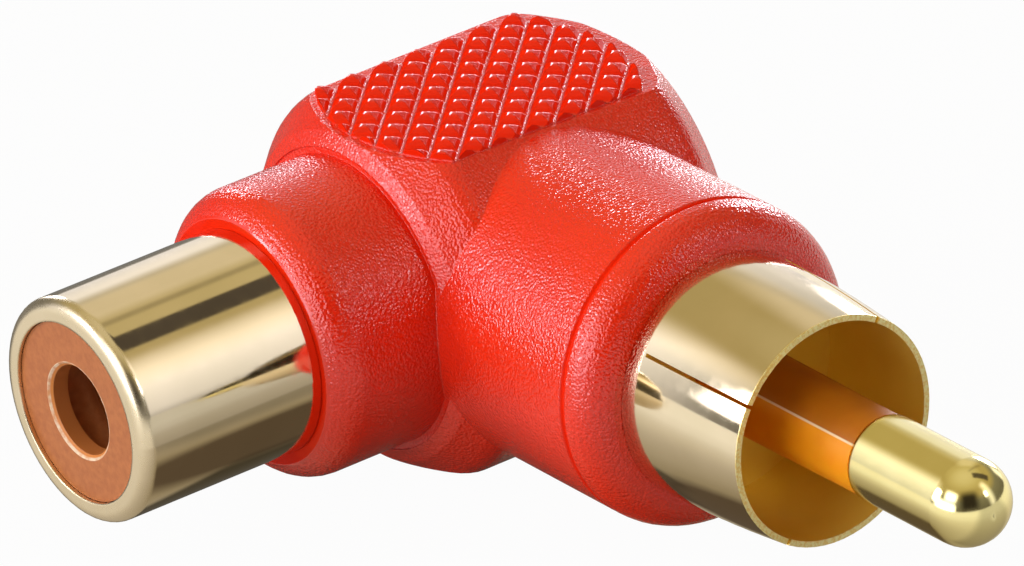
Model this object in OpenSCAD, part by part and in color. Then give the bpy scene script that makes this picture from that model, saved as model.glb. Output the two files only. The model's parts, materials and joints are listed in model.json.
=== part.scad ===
// Right-angle phono adapter: a plug along +X and a jack along -Y in one overmoulded elbow.
// The two connector axes cross at the origin and lie in the plane z = 0, the mould's parting plane.
// Profiles are drawn as [radius, reach], with the reach counted outwards from the crossing.

/* [Grip block] */
// Radius of the block about the jack axis
block_r = 7.3; // [7:0.05:8]
// Height of the grip flats above the axes
flat_h = 6; // [5.9:0.02:6.3]
// Slope of the flats, falling towards the closed end, in degrees
flat_taper = 1.15; // [0:0.05:2]
// Reach of the crisp lip at the jack end
lip_reach = 5.6; // [5.4:0.05:6]
// Radius of the crisp lip at the jack end
lip_r = 5.62; // [5.5:0.02:5.8]
// Depth of the trough between the lip and the jack arm
lip_trough = 0.08; // [0.06:0.02:0.4]
// Reach of the outer edge of the jack end face, back from the lip
face_drop = 0.3; // [0.1:0.05:0.5]
// Radius of the outer edge of both end faces
face_r = 6.15; // [6:0.05:6.4]
// Length of the bevel between each end face and the round side
bevel_len = 1.25; // [0.8:0.05:1.8]
// Reach of the closed end face
back_reach = 6.7; // [6.2:0.1:8]
// Rounding between the bevels and the round side
bevel_round = 1.4; // [0.5:0.1:2]
// Rounding of the edges of the end faces
face_round = 0.35; // [0.1:0.05:0.4]

/* [Grip knurl] */
// Reach of the knurled pad towards the plug
pad_near = 4.05; // [3.5:0.05:4.1]
// Reach of the pad away from the plug
pad_far = 3.65; // [3.5:0.05:4.1]
// Reach of the pad towards the jack
pad_front = 5.05; // [4:0.05:5.1]
// Reach of the pad towards the closed end
pad_back = 5.9; // [4.5:0.1:6]
// Radius of the pad's bowed ends
pad_bow_r = 6.8; // [6:0.1:12]
// Pitch of the pyramids along the grooves
knurl_pitch = 1.01; // [0.9:0.01:1.6]
// Height of the pyramids above the flat
knurl_h = 0.34; // [0.28:0.01:0.42]
// Angle of the pyramids' sides from upright, in degrees
knurl_side = 40; // [35:1:43]
// Height of the pyramids' bevelled crown
crown_h = 0.14; // [0.06:0.01:0.16]
// Angle of the crown's sides from upright, in degrees
crown_side = 61; // [50:1:62]
// Width of the grooves' flat floor
knurl_floor_w = 0.06; // [0.04:0.01:0.1]
// Offset of the pyramid over the block's middle, along the jack axis
knurl_shift = 0.28; // [0:0.01:0.5]

/* [Plug arm] */
// Radius of the arm that carries the plug
plug_arm_r = 5.95; // [5.6:0.05:6]
// Reach of the nose where the plug shell comes out
plug_reach = 13.95; // [12.5:0.05:17]
// Rounding of the nose
plug_nose_round = 1.4; // [0.8:0.05:1.4]
// Width of the groove behind the nose
nose_groove_w = 0.3; // [0.26:0.01:0.5]
// Depth of the groove behind the nose
nose_groove_d = 0.1; // [0.06:0.01:0.12]

/* [Plug] */
// Radius of the shell at the nose
shell_r = 4.54; // [4.4:0.01:4.7]
// Radius of the shell at its rim
shell_rim_r = 4.23; // [4.05:0.01:4.3]
// Wall of the shell
shell_wall = 0.22; // [0.2:0.01:0.4]
// Length of the shell outside the nose
shell_len = 6; // [5:0.1:8]
// Thickness of the shell's floor
shell_floor = 0.35; // [0.25:0.05:0.6]
// Slits that part the shell into leaves
slit_count = 4; // [3:1:6]
// Width of the slits
slit_w = 0.14; // [0.08:0.01:0.3]
// Turn of the first slit about the plug axis, in degrees
slit_turn = 57.5; // [0:0.5:89]
// Radius of the shell's neck in the arm
neck_r = 3.2; // [2.9:0.05:3.4]
// Radius of the flange that anchors the shell
shell_flange_r = 4.4; // [4.2:0.1:4.9]
// Thickness of the two anchor flanges
flange_t = 0.8; // [0.5:0.1:1.2]
// Length of the neck and flange inside the arm
shell_root = 5; // [3.5:0.1:5.5]
// Radius of the insulator where it fills the neck
core_r = 2.1; // [2.05:0.05:2.4]
// Radius of the insulator's sleeve at the shell's floor
sleeve_base_r = 1.6; // [1.55:0.05:1.95]
// Radius of the insulator's sleeve at the pin
sleeve_tip_r = 1.54; // [1.4:0.02:1.6]
// Length of the sleeve beyond the shell's rim
sleeve_out = 2.72; // [1.5:0.1:4]
// Radius of the pin's head
pin_r = 1.6; // [1.55:0.01:1.65]
// Length of the pin's head with its round tip
pin_len = 6.15; // [5:0.05:8]
// Bevel of the head's shoulder
pin_bevel = 0.12; // [0.05:0.01:0.25]
// Radius of the pin's shank
shank_r = 0.9; // [0.7:0.05:1.1]
// Length of the pin's solder tail behind the shell
pin_tail = 1.4; // [1:0.1:1.6]

/* [Jack arm] */
// Radius of the arm that carries the jack
jack_arm_r = 5.36; // [5.1:0.02:5.4]
// Reach of the arm's end face
jack_reach = 10.25; // [9.5:0.05:13]
// Length of the arm's rounded end
jack_nose_len = 1.3; // [0.8:0.05:1.4]
// Depth of the countersink round the jack's sleeve
jack_sink_d = 0.12; // [0.08:0.02:0.14]
// Width of the countersink round the jack's sleeve
jack_sink_w = 0.4; // [0.3:0.02:0.5]

/* [Jack] */
// Radius of the jack's sleeve
sleeve_r = 4.15; // [4.1:0.01:4.2]
// Length of the sleeve outside the arm
sleeve_len = 7.5; // [6:0.1:10]
// Radius of the sleeve's bore
sleeve_bore_r = 3.35; // [3.2:0.05:3.5]
// Rounding of the sleeve's rim
sleeve_round = 0.45; // [0.1:0.05:0.5]
// Radius of the flange that anchors the sleeve
sleeve_flange_r = 4.7; // [4.5:0.05:4.9]
// Length of the sleeve inside the arm
sleeve_root = 3.85; // [3:0.05:4]
// Step from the sleeve down to its root in the arm
sleeve_step = 0.3; // [0.2:0.05:0.4]
// Depth of the insulator's face inside the rim
face_sink = 0.17; // [0:0.01:0.5]
// Radius of the hole for the mating pin
hole_r = 1.66; // [1.64:0.01:1.75]
// Bevel of the hole's mouth
hole_bevel = 0.15; // [0.05:0.01:0.25]
// Length of the hole's wall with its bevel
hole_len = 0.76; // [0.5:0.02:1.2]
// Radius of the chamber for the spring contact
chamber_r = 2.05; // [2.05:0.05:2.4]
// Length of the chamber
chamber_len = 8.2; // [7:0.1:9]
// Length of the insulator
insulator_len = 10.5; // [10.2:0.1:11]
// Radius of the spring contact's bore
contact_r = 1.6; // [1.58:0.01:1.63]
// Wall of the spring contact
contact_wall = 0.22; // [0.15:0.01:0.26]
// Length of the spring contact's tube
contact_len = 7; // [5:0.1:7.4]
// Length of the contact's solid base
contact_base = 1.2; // [0.8:0.1:2]
// Width of the slits between the contact's leaves
contact_slit_w = 0.35; // [0.2:0.05:0.6]
// Radius of the contact's solder tail
contact_tail_r = 0.85; // [0.75:0.05:1]
// Length of the contact's tail behind the insulator
contact_tail = 1.3; // [1:0.1:1.5]

/* [Links] */
// Radius of the two wires that join plug and jack
wire_r = 0.42; // [0.3:0.02:0.5]
// Radius of the wires' bend
wire_bend = 4.4; // [2.5:0.1:4.6]
// Depth of the solder holes in the two tails
solder_depth = 1; // [0.6:0.1:1]
// Height of the ground wire above the axes
ground_z = 3.85; // [3.8:0.05:3.95]

/* [Clearances] */
// Gap between the moulding and what it holds
mould_gap = 0.03; // [0.01:0.01:0.05]
// Gap between pieces that are pressed or soldered together
fit_gap = 0.02; // [0.01:0.01:0.03]

/* [Hidden] */
$fn = 96;
eps = 0.01;
arc_step = 11.25;
far = 4 * block_r;

// Grip block and arms
front_edge = lip_reach - face_drop;
back_edge = back_reach - face_drop;
jack_floor = jack_reach - jack_sink_d;
jack_lip_r = sleeve_r + jack_sink_w;
groove_end = plug_reach - plug_nose_round;

// Knurl
groove_floor = knurl_h / 20;
knee_h = knurl_h - crown_h - groove_floor;
knee_half_w = knurl_floor_w / 2 + knee_h * tan(knurl_side);
crown_half_w = knee_half_w + (knurl_h - knee_h) * tan(crown_side);
pad_w = pad_near + pad_far;
groove_run = 2 * (pad_w + pad_front + pad_back);
groove_count = ceil((pad_w + pad_back) / knurl_pitch);

// Plug, by its reach
floor_back = plug_reach + fit_gap;
floor_front = floor_back + shell_floor;
shell_rim = plug_reach + shell_len;
shell_back = plug_reach - shell_root;
sleeve_tip = shell_rim + sleeve_out;
pin_tip = sleeve_tip + pin_len;
pin_back = shell_back - pin_tail;
leaf_steps = 8;

// Jack, by its reach
sleeve_front = jack_reach + sleeve_len;
sleeve_back = jack_reach - sleeve_root;
sleeve_root_r = sleeve_r - sleeve_step;
sleeve_foot = jack_floor + fit_gap;
insulator_front = sleeve_front - face_sink;
insulator_back = insulator_front - insulator_len;
chamber_front = insulator_front - hole_len;
chamber_back = chamber_front - chamber_len;
contact_back = chamber_back + fit_gap;
contact_front = contact_back + contact_len;
contact_end = insulator_back - contact_tail;

// Turns a body of revolution onto the plug axis, or onto the jack axis
module on_plug() rotate([0, 90, 0]) children();
module on_jack() rotate([90, 0, 0]) children();

// Copies the children to the underside as well
module both_flats() {
    children();
    mirror([0, 0, 1]) children();
}

// Lays the children on the upper grip flat
module on_flat() translate([0, 0, flat_h]) rotate([-flat_taper, 0, 0]) children();

// Points of the arc that rounds the corner b between a and c
function unit(v) = v / norm(v);
function turned(v, angle) = [v[0] * cos(angle) - v[1] * sin(angle), v[0] * sin(angle) + v[1] * cos(angle)];
function corner(a, b, c, r) =
    let (
        to_a = unit(a - b),
        to_c = unit(c - b),
        half = acos(to_a * to_c) / 2,
        centre = b + unit(to_a + to_c) * r / sin(half),
        first = b + to_a * r / tan(half) - centre,
        last = b + to_c * r / tan(half) - centre,
        sweep = atan2(cross(first, last), first * last),
        steps = max(2, ceil(abs(sweep) / arc_step))
    )
    [for (i = [0 : steps]) centre + turned(first, sweep * i / steps)];

// Outline through [x, y, rounding] points
function outline(points) =
    let (
        n = len(points),
        at = function (i) [points[(i + n) % n][0], points[(i + n) % n][1]],
        rounding = function (i) points[i][2]
    )
    [for (i = [0 : n - 1])
        each rounding(i) > 0 ? corner(at(i - 1), at(i), at(i + 1), rounding(i)) : [at(i)]];

// Solid of revolution between two reaches
module turned_rod(r, from, to) translate([0, 0, from]) cylinder(r = r, h = to - from);

module grip_block() {
    difference() {
        on_jack() rotate_extrude() polygon(outline([
            [0, -back_reach, 0],
            [face_r - 2 * face_round, -back_reach, 0],
            [face_r, -back_edge, face_round],
            [block_r, bevel_len - back_edge, bevel_round],
            [block_r, front_edge - bevel_len, bevel_round],
            [face_r, front_edge, face_round],
            [lip_r, lip_reach, 0],
            [lip_r, lip_reach - lip_trough, 0],
            [0, lip_reach - lip_trough, 0]
        ]));
        both_flats() on_flat() translate([-far, -far, 0]) cube([2 * far, 2 * far, far]);
    }
}

// Crowned pyramids left standing between two crossing sets of grooves
module grip_pad() {
    pad_root = block_r - flat_h;
    on_flat() difference() {
        translate([0, 0, -pad_root]) linear_extrude(pad_root + knurl_h) intersection() {
            translate([-pad_far, -far]) square([pad_w, 2 * far]);
            translate([0, pad_bow_r - pad_front]) circle(pad_bow_r);
            translate([0, pad_back - pad_bow_r]) circle(pad_bow_r);
        }
        translate([0, -knurl_shift, 0])
            for (turn = [45, 135], i = [-groove_count : groove_count - 1])
                rotate([90, 0, turn]) translate([(i + 0.5) * knurl_pitch, groove_floor, -groove_run / 2])
                    linear_extrude(groove_run)
                        polygon([
                            [-knurl_floor_w / 2, 0],
                            [knurl_floor_w / 2, 0],
                            [knee_half_w, knee_h],
                            [crown_half_w, knurl_h],
                            [-crown_half_w, knurl_h],
                            [-knee_half_w, knee_h]
                        ]);
    }
}

module jack_arm() {
    nose = jack_reach - jack_nose_len;
    sweep = 2 * atan2(jack_arm_r - jack_lip_r, jack_nose_len);
    nose_round = jack_nose_len / sin(sweep);
    steps = ceil(sweep / arc_step);
    nose_arc = [for (i = [0 : steps])
        [jack_arm_r - nose_round, nose] + turned([nose_round, 0], sweep * i / steps)];
    on_jack() rotate_extrude() polygon(concat(
        [[0, 0], [jack_arm_r, 0]],
        nose_arc,
        [[sleeve_r + mould_gap, jack_floor], [0, jack_floor]]
    ));
}

module plug_arm() {
    groove_r = plug_arm_r - nose_groove_d;
    on_plug() rotate_extrude() polygon(outline([
        [0, 0, 0],
        [plug_arm_r, 0, 0],
        [plug_arm_r, groove_end - nose_groove_w, 0],
        [groove_r, groove_end - nose_groove_w + nose_groove_d, 0],
        [groove_r, groove_end - nose_groove_d, 0],
        [plug_arm_r, groove_end, 0],
        [plug_arm_r, plug_reach, plug_nose_round - eps],
        [0, plug_reach, 0]
    ]));
}

// Room in the moulding for the parts that it is moulded round
module moulded_in_plug() {
    turned_rod(neck_r + mould_gap, shell_back - mould_gap, plug_reach + eps);
    turned_rod(shell_flange_r + mould_gap, shell_back - mould_gap, shell_back + flange_t + mould_gap);
    turned_rod(shank_r + mould_gap, pin_back - mould_gap, shell_back);
}

module moulded_in_jack() {
    turned_rod(sleeve_root_r + mould_gap, sleeve_back - mould_gap, jack_reach + eps);
    turned_rod(sleeve_flange_r + mould_gap, sleeve_back - mould_gap, sleeve_back + flange_t + mould_gap);
    turned_rod(contact_tail_r + mould_gap, contact_end - mould_gap, sleeve_back);
}

// Bent wire from the plug axis to the jack axis
module link(r, plug_end, jack_end) {
    on_plug() turned_rod(r, wire_bend, plug_end);
    on_jack() turned_rod(r, wire_bend, jack_end);
    translate([wire_bend, -wire_bend, 0]) rotate([0, 0, 90])
        rotate_extrude(angle = 90) translate([wire_bend, 0]) circle(r);
}

module housing() color("#e8321e") difference() {
    union() {
        grip_block();
        grip_pad();
        jack_arm();
        plug_arm();
    }
    on_plug() moulded_in_plug();
    on_jack() moulded_in_jack();
    link(wire_r + mould_gap, pin_back, contact_end);
    translate([0, 0, ground_z]) link(wire_r + mould_gap, shell_back, sleeve_back);
}

// Point i of the shell's wall, which starts at a reach and closes in towards the rim
function leaf(i, from) =
    let (t = i / leaf_steps)
    [shell_r - (shell_r - shell_rim_r) * t * t, from + (shell_rim - from) * t];

// Drawn cup with a floor, a neck, a flange and a slit wall
module plug_shell() color("#d2b06a") {
    outside = [for (i = [0 : leaf_steps]) leaf(i, floor_back)];
    inside = [for (i = [leaf_steps : -1 : 0]) leaf(i, floor_front) - [shell_wall, 0]];
    on_plug() difference() {
        rotate_extrude() polygon(concat(
            [
                [core_r + fit_gap, shell_back],
                [shell_flange_r, shell_back],
                [shell_flange_r, shell_back + flange_t],
                [neck_r, shell_back + flange_t],
                [neck_r, floor_back]
            ],
            outside,
            inside,
            [
                [sleeve_base_r + fit_gap, floor_front],
                [sleeve_base_r + fit_gap, floor_back],
                [core_r + fit_gap, floor_back]
            ]
        ));
        for (i = [0 : slit_count - 1])
            rotate([0, 0, 90 + slit_turn + i * 360 / slit_count])
                translate([sleeve_base_r + shell_wall, -slit_w / 2, floor_front + shell_floor])
                    cube([shell_r, slit_w, shell_len]);
    }
}

// Core that fills the shell's neck, with a sleeve that carries the pin
module plug_insulator() color("#e08a10") {
    bore_r = shank_r + fit_gap;
    on_plug() rotate_extrude() polygon([
        [bore_r, shell_back],
        [core_r, shell_back],
        [core_r, floor_back - fit_gap],
        [sleeve_base_r, floor_back - fit_gap],
        [sleeve_base_r, floor_front],
        [sleeve_tip_r, sleeve_tip],
        [bore_r, sleeve_tip]
    ]);
}

// Bullet head on a shank that runs through the insulator to a solder tail
module plug_pin() color("#d8ba78") {
    pin_back_face = sleeve_tip + fit_gap;
    on_plug() difference() {
        union() {
            turned_rod(shank_r, pin_back, sleeve_tip + shank_r);
            translate([0, 0, pin_back_face]) cylinder(r1 = pin_r - pin_bevel, r2 = pin_r, h = pin_bevel);
            turned_rod(pin_r, pin_back_face + pin_bevel, pin_tip - pin_r);
            translate([0, 0, pin_tip - pin_r]) sphere(pin_r);
        }
        turned_rod(wire_r + fit_gap, pin_back - eps, pin_back + solder_depth);
    }
}

// Turned tube with a rounded rim, a stepped root and a flange inside the arm
module jack_sleeve() color("#d2b06a") {
    on_jack() rotate_extrude() polygon(outline([
        [sleeve_bore_r, sleeve_back, 0],
        [sleeve_flange_r, sleeve_back, 0],
        [sleeve_flange_r, sleeve_back + flange_t, 0],
        [sleeve_root_r, sleeve_back + flange_t, 0],
        [sleeve_root_r, sleeve_foot, 0],
        [sleeve_r, sleeve_foot, 0],
        [sleeve_r, sleeve_front, sleeve_round],
        [sleeve_bore_r, sleeve_front, 0]
    ]));
}

// Plug of insulation with the pin's hole in front and a chamber for the contact behind it
module jack_insulator() color("#b4663a") {
    on_jack() rotate_extrude() polygon([
        [contact_tail_r + fit_gap, insulator_back],
        [sleeve_bore_r - fit_gap, insulator_back],
        [sleeve_bore_r - fit_gap, insulator_front],
        [hole_r + hole_bevel, insulator_front],
        [hole_r, insulator_front - hole_bevel],
        [hole_r, chamber_front],
        [chamber_r, chamber_front],
        [chamber_r, chamber_back],
        [contact_tail_r + fit_gap, chamber_back]
    ]);
}

// Spring socket: a slit tube on a solid base with a solder tail
module jack_contact() color("#c9a45c") {
    tube_r = contact_r + contact_wall;
    base_top = contact_back + contact_base;
    on_jack() difference() {
        union() {
            turned_rod(chamber_r - fit_gap, contact_back, base_top);
            turned_rod(tube_r, base_top - eps, contact_front);
            turned_rod(contact_tail_r, contact_end, contact_back + eps);
        }
        turned_rod(contact_r, base_top, contact_front + eps);
        for (turn = [0, 90])
            rotate([0, 0, turn]) translate([-chamber_r, -contact_slit_w / 2, base_top + contact_wall])
                cube([2 * chamber_r, contact_slit_w, contact_len]);
        turned_rod(wire_r + fit_gap, contact_end - eps, contact_end + solder_depth);
    }
}

// Wire from the pin's tail to the contact's tail
module signal_link() color("#c0784a")
    link(wire_r, pin_back + solder_depth - fit_gap, contact_end + solder_depth - fit_gap);

// Wire from the shell's flange to the sleeve's flange
module ground_link() color("#c0784a")
    translate([0, 0, ground_z]) link(wire_r, shell_back - fit_gap, sleeve_back - fit_gap);

housing();
plug_shell();
plug_insulator();
plug_pin();
jack_sleeve();
jack_insulator();
jack_contact();
signal_link();
ground_link();
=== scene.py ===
"""Looks of a right-angle phono adapter: finishes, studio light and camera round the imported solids.

Everything is in metres in the part's own frame: plug along +X, jack along -Y, knurled flat up.
"""

import json
import math

import bpy
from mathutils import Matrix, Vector


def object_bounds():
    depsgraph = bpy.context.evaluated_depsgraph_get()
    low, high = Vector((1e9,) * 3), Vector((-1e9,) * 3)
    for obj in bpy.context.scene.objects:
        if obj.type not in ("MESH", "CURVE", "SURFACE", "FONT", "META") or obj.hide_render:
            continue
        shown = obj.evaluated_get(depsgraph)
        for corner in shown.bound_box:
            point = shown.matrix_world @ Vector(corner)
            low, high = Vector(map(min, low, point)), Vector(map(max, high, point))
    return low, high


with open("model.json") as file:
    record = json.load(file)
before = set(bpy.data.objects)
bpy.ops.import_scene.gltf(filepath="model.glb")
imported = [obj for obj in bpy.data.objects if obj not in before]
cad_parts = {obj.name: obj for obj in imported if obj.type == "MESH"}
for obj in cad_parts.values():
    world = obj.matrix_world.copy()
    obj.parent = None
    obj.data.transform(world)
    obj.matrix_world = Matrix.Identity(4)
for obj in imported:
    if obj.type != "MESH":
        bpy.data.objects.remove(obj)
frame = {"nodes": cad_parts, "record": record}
cad_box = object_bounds()

MM = 0.001

# Masks that leave the part of a place across an axis
OFF_PLUG = (0, 1, 1)
OFF_JACK = (1, 0, 1)
OFF_UPRIGHT = (1, 1, 0)

# Camera, fitted to the round edges of the object in a 1024 x 566 picture
CAMERA_AT = Vector((411.36, -290.08, 251.99)) * MM
CAMERA_TURN = [math.radians(a) for a in (63.1905, 4.1733, 52.5923)]
CAMERA_LENS = 562.5
CAMERA_SENSOR = 36.0
CAMERA_NEAR = 0.05
CAMERA_FAR = 20.0

# Grain of the moulding, and the share of it that is left on the knurl
GRAIN_SIZE = 0.105 * MM
GRAIN_DEPTH = 0.026 * MM
KNURL_GRAIN = 0.12

# Share of the grain, and of the shine, that is left on the jack's lip and in the sunk faces
SMOOTH_SHARE = 0.05

# Faces of the moulding: the knurled flat, the jack's lip and the plug's groove
FLAT_HEIGHT = 6 * MM
FLAT_TAPER = math.radians(1.15)
KNURL_HEIGHT = 0.34 * MM
LIP_REACH = 10.25 * MM
LIP_RADIUS = 4.55 * MM
GROOVE_AT = 12.4 * MM
GROOVE_HALF = 0.15 * MM

# Flanks of the knurl: the share of shine they lose, and the side where they lose all of it
FLANK_LOSS = 0.78
MATT_SIDE = (-0.707, -0.707, 0)

# Slit shell of the plug: its radius at the foot, how far it closes in towards the rim, where its foot is,
# its length and its wall
SHELL_RADIUS = 4.54 * MM
SHELL_CLOSING = 0.31 * MM
SHELL_FOOT = 13.97 * MM
SHELL_LENGTH = 5.98 * MM
SHELL_WALL = 0.22 * MM

# Jack: where its rim's rounding starts, the pin's hole, and the bevel of the hole's mouth
JACK_RIM = 17.3 * MM
HOLE_RADIUS = 1.66 * MM
HOLE_BEVEL = 0.15 * MM

# Gold plating: its two tones and its polish, as a roughness, and what is added where it is dull
GOLD_DARK = (0.79, 0.67, 0.46)
GOLD_PALE = (0.84, 0.71, 0.50)
GOLD_POLISH = 0.06
GOLD_TONE_SIZE = 2 * MM
PIN_DARK = (0.90, 0.78, 0.36)
PIN_PALE = (0.94, 0.82, 0.40)
PIN_POLISH = 0.10
JACK_RIM_DULL = 0.2
SHELL_DULL = 0.3

# Rounding that edges get in their shading alone
RED_EDGE = 0.07 * MM
GOLD_EDGE = 0.12 * MM

# Stage: the floor that is seen, the mat with a painted shadow that reflections see, and the dark areas of
# the room
FLOOR_SIZE = 8.0
FLOOR_COLOUR = (0.45, 0.45, 0.45, 1)
FLOOR_WHITE = 0.97
MAT_DROP = 10 * MM
MAT_RADIUS = 100 * MM
MAT_CENTRE = (9 * MM, -2 * MM)
GAP_COLOUR = (0.09, 0.075, 0.06, 1)
CAMERA_SIDE_COLOUR = (0.03, 0.025, 0.02, 1)


def make(tree, kind, inputs=None, **settings):
    """Adds one shader node. Inputs take a constant, or another node's socket to link."""
    node = tree.nodes.new("ShaderNode" + kind)
    for name, value in settings.items():
        setattr(node, name, value)
    for name, value in (inputs or {}).items():
        if isinstance(value, bpy.types.NodeSocket):
            tree.links.new(value, node.inputs[name])
        else:
            node.inputs[name].default_value = value
    return node


def maths(tree, operation, a, b=0.0, clamp=False):
    return make(tree, "Math", {0: a, 1: b}, operation=operation, use_clamp=clamp).outputs[0]


def dot(tree, a, b):
    return make(tree, "VectorMath", {0: a, 1: b}, operation="DOT_PRODUCT").outputs["Value"]


def normalized(tree, vector):
    return make(tree, "VectorMath", {0: vector}, operation="NORMALIZE").outputs[0]


def off_axis(tree, place, mask):
    """The part of a place across an axis, and how far the place is from that axis."""
    across = make(tree, "VectorMath", {0: place, 1: mask}, operation="MULTIPLY").outputs[0]
    distance = make(tree, "VectorMath", {0: across}, operation="LENGTH").outputs["Value"]
    return across, distance


def fade(tree, value, start, end, low=0.0, high=1.0):
    """Goes smoothly from low to high as value goes from start to end."""
    inputs = {"Value": value, "From Min": start, "From Max": end, "To Min": low, "To Max": high}
    return make(tree, "MapRange", inputs, interpolation_type="SMOOTHSTEP").outputs["Result"]


def ramp(tree, value, stops):
    """Colour that runs through the (position, colour) stops."""
    node = make(tree, "ValToRGB", {"Fac": value})
    elements = node.color_ramp.elements
    while len(elements) < len(stops):
        elements.new(0.5)
    for element, (position, colour) in zip(elements, stops):
        element.position = position
        element.color = (*colour, 1)
    return node.outputs["Color"]


def mix(tree, share, low, high):
    """Colour between low and high."""
    return make(tree, "Mix", {0: share, 6: low, 7: high}, data_type="RGBA").outputs[2]


def noise(tree, place, size, detail):
    """Noise whose blotches are about the given size across."""
    inputs = {"Vector": place, "Scale": 1 / size, "Detail": detail}
    return make(tree, "TexNoise", inputs).outputs["Fac"]


def two_tone(tree, tone, dark, pale):
    """Colour that drifts from dark to pale with a noise."""
    return ramp(tree, tone, [(0.3, dark), (0.7, pale)])


def new_material(name):
    """An empty node material, with its output node and the place on the object."""
    material = bpy.data.materials.new(name)
    material.use_nodes = True
    tree = material.node_tree
    tree.nodes.clear()
    output = make(tree, "OutputMaterial")
    place = make(tree, "TexCoord").outputs["Object"]
    return material, tree, output, place


def shade(tree, output, inputs):
    surface = make(tree, "BsdfPrincipled", inputs)
    tree.links.new(surface.outputs["BSDF"], output.inputs["Surface"])


def pebbles(tree, place):
    """Height of the moulding's grain: rounded pebbles that drift up and down a little."""
    inputs = {"Vector": place, "Scale": 1 / GRAIN_SIZE, "Smoothness": 0.3}
    cells = make(tree, "TexVoronoi", inputs, feature="SMOOTH_F1").outputs["Distance"]
    drift = maths(tree, "MULTIPLY", noise(tree, place, 1.6 * GRAIN_SIZE, 1), 0.5)
    return maths(tree, "SUBTRACT", drift, cells)


def grain_and_shine(tree, place):
    """Share of the grain's depth and share of the shine that each face of the moulding has."""
    along = make(tree, "SeparateXYZ", {0: place}).outputs
    above = maths(tree, "ADD", along["Z"], maths(tree, "MULTIPLY", along["Y"], math.tan(FLAT_TAPER)))
    on_knurl = fade(tree, above, FLAT_HEIGHT + 0.02 * MM, FLAT_HEIGHT + 0.07 * MM, 1.0, KNURL_GRAIN)
    off_groove = maths(tree, "ABSOLUTE", maths(tree, "SUBTRACT", along["X"], GROOVE_AT))
    in_groove = fade(tree, off_groove, 0.6 * GROOVE_HALF, GROOVE_HALF, SMOOTH_SHARE, 1.0)
    _, jack_radius = off_axis(tree, place, OFF_JACK)
    behind_lip = fade(tree, along["Y"], -LIP_REACH + 0.12 * MM, -LIP_REACH + 0.2 * MM)
    on_lip = fade(tree, jack_radius, LIP_RADIUS + 0.05 * MM, LIP_RADIUS + 0.12 * MM, SMOOTH_SHARE, 1.0)
    on_lip = maths(tree, "MAXIMUM", on_lip, behind_lip)
    grain = maths(tree, "MINIMUM", on_knurl, maths(tree, "MINIMUM", in_groove, on_lip))
    in_sink = fade(tree, jack_radius, LIP_RADIUS - 0.03 * MM, LIP_RADIUS, SMOOTH_SHARE, 1.0)
    in_sink = maths(tree, "MAXIMUM", in_sink, behind_lip)
    shine = maths(tree, "MINIMUM", in_groove, in_sink)
    # The knurl shines at its tips and in its valleys. Its flanks are duller, and matt on one side
    climb = maths(tree, "DIVIDE", maths(tree, "SUBTRACT", above, FLAT_HEIGHT), KNURL_HEIGHT)
    flank = maths(tree, "MULTIPLY", fade(tree, climb, 0.15, 0.25), fade(tree, climb, 0.86, 0.94, 1.0, 0.0))
    own = make(tree, "NewGeometry").outputs["Normal"]
    loss = fade(tree, dot(tree, own, MATT_SIDE), 0.1, 0.2, FLANK_LOSS, 1.0)
    flank = maths(tree, "MULTIPLY", flank, loss)
    shine = maths(tree, "MULTIPLY", shine, maths(tree, "SUBTRACT", 1.0, flank))
    return grain, shine


def red_moulding():
    """Soft PVC from a spark-eroded mould: saturated red and glossy, pebbled but for the smooth faces."""
    material, tree, output, place = new_material("red_moulding")
    tone = noise(tree, place, 3 * MM, 3)
    grain, shine = grain_and_shine(tree, place)
    rounded = make(tree, "Bevel", {"Radius": RED_EDGE}, samples=6).outputs["Normal"]
    bump = make(tree, "Bump", {
        "Height": pebbles(tree, place),
        "Strength": grain,
        "Distance": GRAIN_DEPTH,
        "Normal": rounded,
    })
    shade(tree, output, {
        "Base Color": two_tone(tree, tone, (0.88, 0.020, 0.003), (0.94, 0.028, 0.004)),
        "Roughness": 0.11,
        "IOR": 1.62,
        "Specular IOR Level": maths(tree, "MULTIPLY", shine, 0.5),
        "Normal": bump.outputs["Normal"],
    })
    return material


def gold_haze(tree, place, polish):
    """Roughness of polished plating, a little higher where it is hazy."""
    return fade(tree, noise(tree, place, 0.5 * MM, 3), 0.35, 0.7, polish, polish + 0.04)


def gold_plate(name, dark, pale, polish):
    """Polished gold plating over turned brass, a little hazy in places and duller at the jack's rim."""
    material, tree, output, place = new_material(name)
    tone = noise(tree, place, GOLD_TONE_SIZE, 2)
    reach = maths(tree, "MULTIPLY", make(tree, "SeparateXYZ", {0: place}).outputs["Y"], -1.0)
    at_rim = fade(tree, reach, JACK_RIM - 0.05 * MM, JACK_RIM + 0.1 * MM, 0.0, JACK_RIM_DULL)
    rounded = make(tree, "Bevel", {"Radius": GOLD_EDGE}, samples=8).outputs["Normal"]
    shade(tree, output, {
        "Base Color": two_tone(tree, tone, dark, pale),
        "Metallic": 1.0,
        "Roughness": maths(tree, "ADD", gold_haze(tree, place, polish), at_rim),
        "Normal": rounded,
    })
    return material


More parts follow.
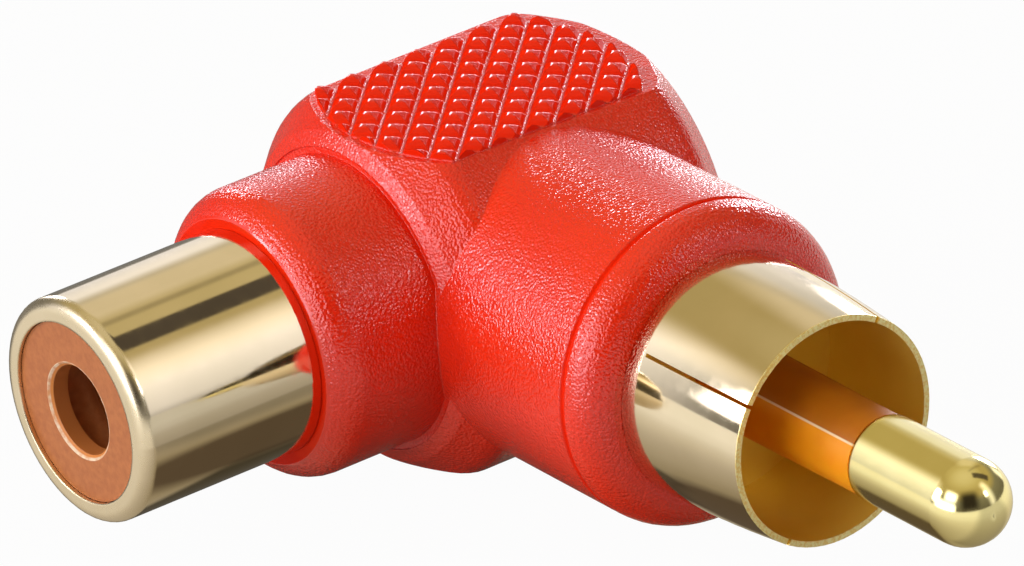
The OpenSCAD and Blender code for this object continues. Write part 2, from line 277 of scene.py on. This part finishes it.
def shell_gold():
    """Gold of the drawn shell: polished outside and dull at the trimmed rim. Inside and on the slits'
    sides it is painted a strong amber that stands in for the insulator's reflection and for light in the
    shell, and the rim's paler speckled gold is a painted highlight.
    """
    material, tree, output, place = new_material("shell_gold")
    tone = noise(tree, place, GOLD_TONE_SIZE, 2)
    speckle = noise(tree, place, 0.1 * MM, 2)
    polished = two_tone(tree, tone, GOLD_DARK, GOLD_PALE)
    # Painted reflection: the amber inside and on the slits' sides stands in for the insulator mirrored in
    # the gold and for light inside the shell
    painted_amber_inside = two_tone(tree, tone, (0.96, 0.68, 0.09), (1.0, 0.74, 0.12))
    # Painted highlight: paler, speckled gold at the rim
    rim_highlight_paint = ramp(tree, speckle, [(0.38, (0.92, 0.68, 0.22)), (0.6, (1.0, 0.90, 0.46))])
    along = make(tree, "SeparateXYZ", {0: place}).outputs
    share = maths(tree, "DIVIDE", maths(tree, "SUBTRACT", along["X"], SHELL_FOOT), SHELL_LENGTH)
    closing = maths(tree, "MULTIPLY", maths(tree, "POWER", share, 2.0), SHELL_CLOSING)
    outside = maths(tree, "SUBTRACT", SHELL_RADIUS, closing)
    across, radius = off_axis(tree, place, OFF_PLUG)
    sunk = maths(tree, "SUBTRACT", outside, radius)
    outwards = normalized(tree, across)
    own = make(tree, "NewGeometry").outputs["Normal"]
    in_slit = maths(tree, "LESS_THAN", maths(tree, "ABSOLUTE", dot(tree, own, outwards)), 0.5)
    inside = fade(tree, sunk, 0.7 * SHELL_WALL, 0.95 * SHELL_WALL)
    inside = maths(tree, "MAXIMUM", inside, in_slit)
    at_rim = fade(tree, share, 0.990, 0.998)
    colour = mix(tree, at_rim, mix(tree, inside, polished, painted_amber_inside), rim_highlight_paint)
    dull = maths(tree, "MULTIPLY", maths(tree, "MAXIMUM", inside, at_rim), SHELL_DULL)
    # The drawn wall is one smooth curve, so its shading normal follows that curve across the solid's bands
    slope = maths(tree, "MULTIPLY", share, 2 * SHELL_CLOSING / SHELL_LENGTH)
    leaning = make(tree, "CombineXYZ", {0: slope, 1: 0.0, 2: 0.0}).outputs[0]
    curve = make(tree, "VectorMath", {0: outwards, 1: leaning}, operation="ADD").outputs[0]
    curve = make(tree, "VectorTransform", {0: curve}, vector_type="NORMAL", convert_from="OBJECT",
                 convert_to="WORLD").outputs[0]
    on_wall = maths(tree, "LESS_THAN", sunk, 0.1 * SHELL_WALL)
    on_wall = maths(tree, "MULTIPLY", on_wall, maths(tree, "LESS_THAN", share, 0.995))
    on_wall = maths(tree, "MULTIPLY", on_wall, maths(tree, "SUBTRACT", 1.0, in_slit))
    normal = make(tree, "Mix", {0: on_wall, 4: own, 5: curve}, data_type="VECTOR").outputs[1]
    shade(tree, output, {
        "Base Color": colour,
        "Metallic": maths(tree, "SUBTRACT", 1.0, maths(tree, "MULTIPLY", inside, 0.6)),
        "Roughness": maths(tree, "ADD", gold_haze(tree, place, GOLD_POLISH), dull),
        "Normal": normal,
    })
    return material


def amber_plastic():
    """Amber insulating plastic, a little translucent, with painted shade that darkens its upper half and a
    painted highlight line along the boundary between the halves.
    """
    material, tree, output, place = new_material("amber_plastic")
    tone = noise(tree, place, 1.5 * MM, 2)
    # Lit and shaded copies of the amber: painted light on the lower half, painted shade on the upper half
    painted_lit_amber = two_tone(tree, tone, (0.94, 0.30, 0.002), (1.0, 0.36, 0.004))
    painted_shaded_amber = two_tone(tree, tone, (0.45, 0.13, 0.002), (0.52, 0.16, 0.003))
    rise = dot(tree, place, (0, 0.6, 0.8))
    colour = mix(tree, fade(tree, rise, -0.03 * MM, 0.03 * MM), painted_lit_amber, painted_shaded_amber)
    # The pale line along the boundary of the two halves is a painted highlight
    painted_highlight_line = fade(tree, maths(tree, "ABSOLUTE", rise), 0.02 * MM, 0.06 * MM, 0.8, 0.0)
    colour = mix(tree, painted_highlight_line, colour, (1.0, 0.82, 0.55, 1))
    shade(tree, output, {
        "Base Color": colour,
        "Roughness": 0.5,
        "IOR": 1.4,
        "Subsurface Weight": 0.3,
        "Subsurface Radius": (1.0, 0.4, 0.1),
        "Subsurface Scale": 0.5 * MM,
    })
    return material


def brown_plastic():
    """Matte brown insulating plastic with a fine grain. The hole's bevel and wall are painted a brighter
    orange than the face as painted light, and pale painted highlights lie round the hole's edge.
    """
    material, tree, output, place = new_material("brown_plastic")
    tone = noise(tree, place, 0.25 * MM, 3)
    face = two_tone(tree, tone, (0.44, 0.125, 0.030), (0.53, 0.170, 0.046))
    _, radius = off_axis(tree, place, OFF_JACK)
    in_hole = fade(tree, radius, HOLE_RADIUS, HOLE_RADIUS + 0.02 * MM, 1.0, 0.0)
    mouth = HOLE_RADIUS + HOLE_BEVEL
    in_bevel = fade(tree, radius, mouth, mouth + 0.02 * MM, 1.0, 0.0)
    # Painted light: the hole's bevel and its wall are brighter oranges than the face
    colour = mix(tree, in_bevel, face, (0.80, 0.28, 0.06, 1))
    colour = mix(tree, in_hole, colour, (0.62, 0.21, 0.055, 1))
    # Painted highlight: pale patches round the hole's edge
    painted_highlight_patches = fade(tree, noise(tree, place, 0.35 * MM, 3), 0.35, 0.65, 0.2, 1.0)
    off_edge = maths(tree, "ABSOLUTE", maths(tree, "SUBTRACT", radius, HOLE_RADIUS + 0.8 * HOLE_BEVEL))
    at_edge = fade(tree, off_edge, 0.2 * HOLE_BEVEL, 0.4 * HOLE_BEVEL, 1.0, 0.0)
    colour = mix(tree, maths(tree, "MULTIPLY", painted_highlight_patches, at_edge), colour, (1.0, 0.80, 0.58, 1))
    grain = noise(tree, place, 0.09 * MM, 2)
    bump = make(tree, "Bump", {"Height": grain, "Strength": 0.5, "Distance": 0.01 * MM})
    shade(tree, output, {
        "Base Color": colour,
        "Roughness": 0.4,
        "Normal": bump.outputs["Normal"],
    })
    return material


def copper_wire():
    """Bare drawn copper."""
    material, tree, output, place = new_material("copper_wire")
    tone = noise(tree, place, 0.6 * MM, 3)
    colour = two_tone(tree, tone, (0.62, 0.27, 0.14), (0.74, 0.36, 0.21))
    shade(tree, output, {"Base Color": colour, "Metallic": 1.0, "Roughness": 0.3})
    return material


def dress_nodes():
    """Gives every solid the finish of its slot, and the pin and the shell each a gold of their own."""
    finishes = {
        "red_moulding": red_moulding(),
        "gold_plate": gold_plate("gold_plate", GOLD_DARK, GOLD_PALE, GOLD_POLISH),
        "amber_plastic": amber_plastic(),
        "brown_plastic": brown_plastic(),
        "copper_wire": copper_wire(),
    }
    for part in frame["record"]["subparts"]:
        piece = frame["nodes"][part["node"]]
        piece.data.materials.clear()
        piece.data.materials.append(finishes[part["material_slot"]])
    pin_gold = gold_plate("pin_gold", PIN_DARK, PIN_PALE, PIN_POLISH)
    frame["nodes"]["plug_pin"].data.materials[0] = pin_gold
    frame["nodes"]["plug_shell"].data.materials[0] = shell_gold()


def softbox(tree, ray, towards, half_width, half_height, edge, strength):
    """Light of one softbox: a soft-edged rectangle of the sky round the direction it stands in."""
    middle = Vector(towards).normalized()
    across = Vector((0, 0, 1)).cross(middle).normalized()
    upwards = middle.cross(across)
    ahead = dot(tree, ray, middle)
    x = maths(tree, "ABSOLUTE", maths(tree, "DIVIDE", dot(tree, ray, across), ahead))
    y = maths(tree, "ABSOLUTE", maths(tree, "DIVIDE", dot(tree, ray, upwards), ahead))
    in_x = fade(tree, x, half_width - edge, half_width + edge, strength, 0.0)
    in_y = fade(tree, y, half_height - edge, half_height + edge)
    in_front = maths(tree, "GREATER_THAN", ahead, 0.0)
    inside = maths(tree, "MULTIPLY", in_x, maths(tree, "SUBTRACT", 1.0, in_y))
    return maths(tree, "MULTIPLY", inside, in_front)


def studio():
    """World of a small product studio: softboxes and dark gaps round a dim, warm room."""
    world = bpy.data.worlds.new("studio")
    bpy.context.scene.world = world
    world.use_nodes = True
    tree = world.node_tree
    tree.nodes.clear()
    ray = make(tree, "TexCoord").outputs["Generated"]
    height = make(tree, "SeparateXYZ", {0: ray}).outputs["Z"]
    room = ramp(tree, height, [
        (0.0, (0.15, 0.14, 0.12)),
        (0.40, (0.24, 0.23, 0.19)),
        (0.60, (0.50, 0.41, 0.195)),
        (0.75, (0.50, 0.41, 0.195)),
        (0.87, (0.62, 0.53, 0.29)),
        (1.0, (0.75, 0.67, 0.45)),
    ])
    boxes = [
        # towards, half width, half height, edge, strength
        ((-0.75, -0.60, 0.24), 0.14, 0.42, 0.20, 1.15),
        ((-0.70, 0.70, 0.07), 0.14, 0.36, 0.20, 0.8),
        ((-0.84, 0.52, 0.20), 0.12, 0.27, 0.12, 0.75),
        ((-0.55, 0.53, 0.64), 0.20, 0.28, 0.12, 0.28),
        ((-0.25, 0.95, 0.12), 0.12, 0.20, 0.08, 1.3),
        ((0.78, 0.52, 0.45), 0.12, 0.50, 0.14, 1.0),
        ((-0.50, -0.80, 0.34), 0.11, 0.20, 0.04, 10.0),
        ((-0.56, 0.82, 0.07), 0.12, 0.19, 0.04, 18.0),
        ((-0.91, 0.37, 0.19), 0.09, 0.13, 0.04, 9.0),
        ((0.80, 0.36, 0.48), 0.07, 0.10, 0.03, 6.0),
        ((0.12, -0.84, 0.53), 0.25, 0.17, 0.12, 3.3),
        ((-0.05, -1.00, 0.08), 0.50, 0.22, 0.12, 4.0),
    ]
    gaps = [
        # colour, towards, half width, half height, edge, share that is dark
        (GAP_COLOUR, (0.20, 0.52, 0.83), 0.125, 0.30, 0.02, 1.0),
        (GAP_COLOUR, (-0.21, 0.52, 0.83), 0.04, 0.30, 0.03, 0.35),
        (CAMERA_SIDE_COLOUR, (0.80, -0.42, 0.42), 0.40, 0.40, 0.22, 1.0),
    ]
    light = 0.0
    for box in boxes:
        light = maths(tree, "ADD", light, softbox(tree, ray, *box))
    cool = maths(tree, "MULTIPLY", light, 1.1)
    white = make(tree, "CombineXYZ", {0: light, 1: light, 2: cool}).outputs[0]
    colour = make(tree, "VectorMath", {0: room, 1: white}, operation="ADD").outputs[0]
    for dark, *area in gaps:
        colour = mix(tree, softbox(tree, ray, *area), colour, dark)
    background = make(tree, "Background", {"Color": colour, "Strength": 1.0})
    output = make(tree, "OutputWorld")
    tree.links.new(background.outputs[0], output.inputs["Surface"])


def plane(name, size, height):
    half = size / 2
    mesh = bpy.data.meshes.new(name)
    corners = [(-half, -half, height), (half, -half, height), (half, half, height), (-half, half, height)]
    mesh.from_pydata(corners, [], [(0, 1, 2, 3)])
    obj = bpy.data.objects.new(name, mesh)
    bpy.context.scene.collection.objects.link(obj)
    return obj


def pale_floor():
    """White floor that the part lies on. It reads as white in the picture and keeps a light shadow."""
    floor = plane("floor", FLOOR_SIZE, cad_box[0].z)
    material, tree, output, _ = new_material("pale_floor")
    matt = make(tree, "BsdfDiffuse", {"Color": FLOOR_COLOUR}).outputs[0]
    white = make(tree, "Emission", {"Color": (1, 1, 1, 1), "Strength": 1.0}).outputs[0]
    path = make(tree, "LightPath").outputs
    seen = maths(tree, "ADD", path["Is Camera Ray"], path["Is Glossy Ray"], True)
    seen = maths(tree, "ADD", seen, path["Is Transmission Ray"], True)
    share = maths(tree, "MULTIPLY", seen, FLOOR_WHITE)
    mixed = make(tree, "MixShader", {0: share, 1: matt, 2: white}).outputs[0]
    tree.links.new(mixed, output.inputs["Surface"])
    floor.data.materials.append(material)
    floor.visible_glossy = False


def painted_shadow_mat():
    """The floor that reflections show: a white glow with the part's soft shadow and two dark flags painted
    into it.
    """
    mat = plane("painted_shadow_mat", FLOOR_SIZE, cad_box[0].z - MAT_DROP)
    mat.location = (*MAT_CENTRE, 0)
    material, tree, output, place = new_material("painted_shadow_mat")
    flat, reach = off_axis(tree, place, OFF_UPRIGHT)
    share = maths(tree, "DIVIDE", reach, MAT_RADIUS)
    # Painted shadow: the glow is dark under the part and brightens to white away from it
    glow = ramp(tree, share, [
        (0.07, (0.11, 0.082, 0.055)),
        (0.10, (0.34, 0.29, 0.20)),
        (0.15, (0.44, 0.39, 0.30)),
        (0.24, (0.55, 0.50, 0.42)),
        (0.36, (0.72, 0.67, 0.58)),
        (0.60, (0.95, 0.92, 0.86)),
        (1.0, (1.05, 1.03, 0.98)),
    ])
    bearing = normalized(tree, flat)
    # Two dark flags, behind and in front of the part, are painted shade
    back = fade(tree, dot(tree, bearing, (-1, 0, 0)), 0.80, 0.90, 0.0, 0.8)
    back = maths(tree, "MULTIPLY", back, fade(tree, share, 0.05, 0.10))
    front = fade(tree, dot(tree, bearing, (0.92, 0.4, 0)), 0.80, 0.95, 0.0, 0.35)
    front = maths(tree, "MULTIPLY", front, fade(tree, share, 0.11, 0.15))
    glow = mix(tree, maths(tree, "MAXIMUM", back, front), glow, (0.0, 0.0, 0.0, 1))
    painted_shadow_emission = make(tree, "Emission", {"Color": glow, "Strength": 1.0}).outputs[0]
    tree.links.new(painted_shadow_emission, output.inputs["Surface"])
    mat.data.materials.append(material)
    mat.visible_camera = False
    mat.visible_diffuse = False
    mat.visible_shadow = False
    mat.visible_transmission = False


def camera():
    data = bpy.data.cameras.new("camera")
    data.sensor_fit = "HORIZONTAL"
    data.sensor_width = CAMERA_SENSOR
    data.lens = CAMERA_LENS
    data.clip_start = CAMERA_NEAR
    data.clip_end = CAMERA_FAR
    obj = bpy.data.objects.new("camera", data)
    obj.location = CAMERA_AT
    obj.rotation_euler = CAMERA_TURN
    bpy.context.scene.collection.objects.link(obj)
    bpy.context.scene.camera = obj


camera()
dress_nodes()
studio()
pale_floor()
painted_shadow_mat()
bpy.context.scene.view_settings.view_transform = "Standard"
